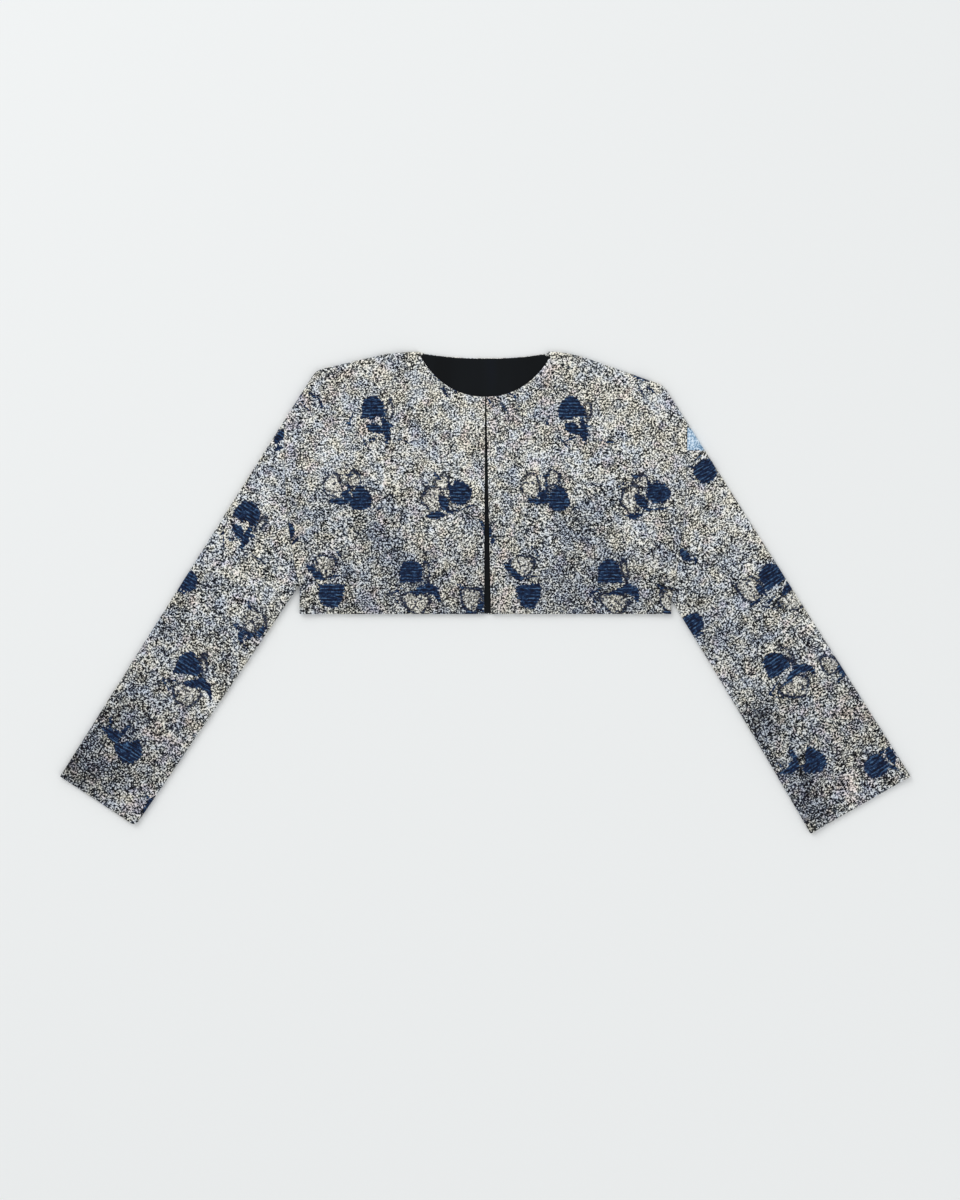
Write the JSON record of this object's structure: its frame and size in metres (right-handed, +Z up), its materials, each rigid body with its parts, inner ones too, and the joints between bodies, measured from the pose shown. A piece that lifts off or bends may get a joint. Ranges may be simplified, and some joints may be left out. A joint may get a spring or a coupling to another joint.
{
  "type": "cropped collarless tweed jacket",
  "caption": "Cropped collarless jacket laid out flat on its back: open front, round neck, long straight sleeves spread out and a dark back lining that shows in the neck.",
  "frame": {"origin": "middle of the laid-out outline, on the surface that the jacket lies on", "axes": "+X to the viewer's right across the sleeves (the wearer's left), +Y from hem to neck, +Z up off the surface"},
  "size_m": [1.0808, 0.6118, 0.0076],
  "materials": {
    "tweed": "loose grey, cream and blue tweed with navy woven flowers",
    "lining": "plain blue-black satin"
  },
  "bodies": {
    "root": {"back": "tweed", "back_lining": "lining", "front_right": "tweed", "front_left": "tweed", "sleeve_right": "tweed", "sleeve_left": "tweed"}
  },
  "joints": []
}
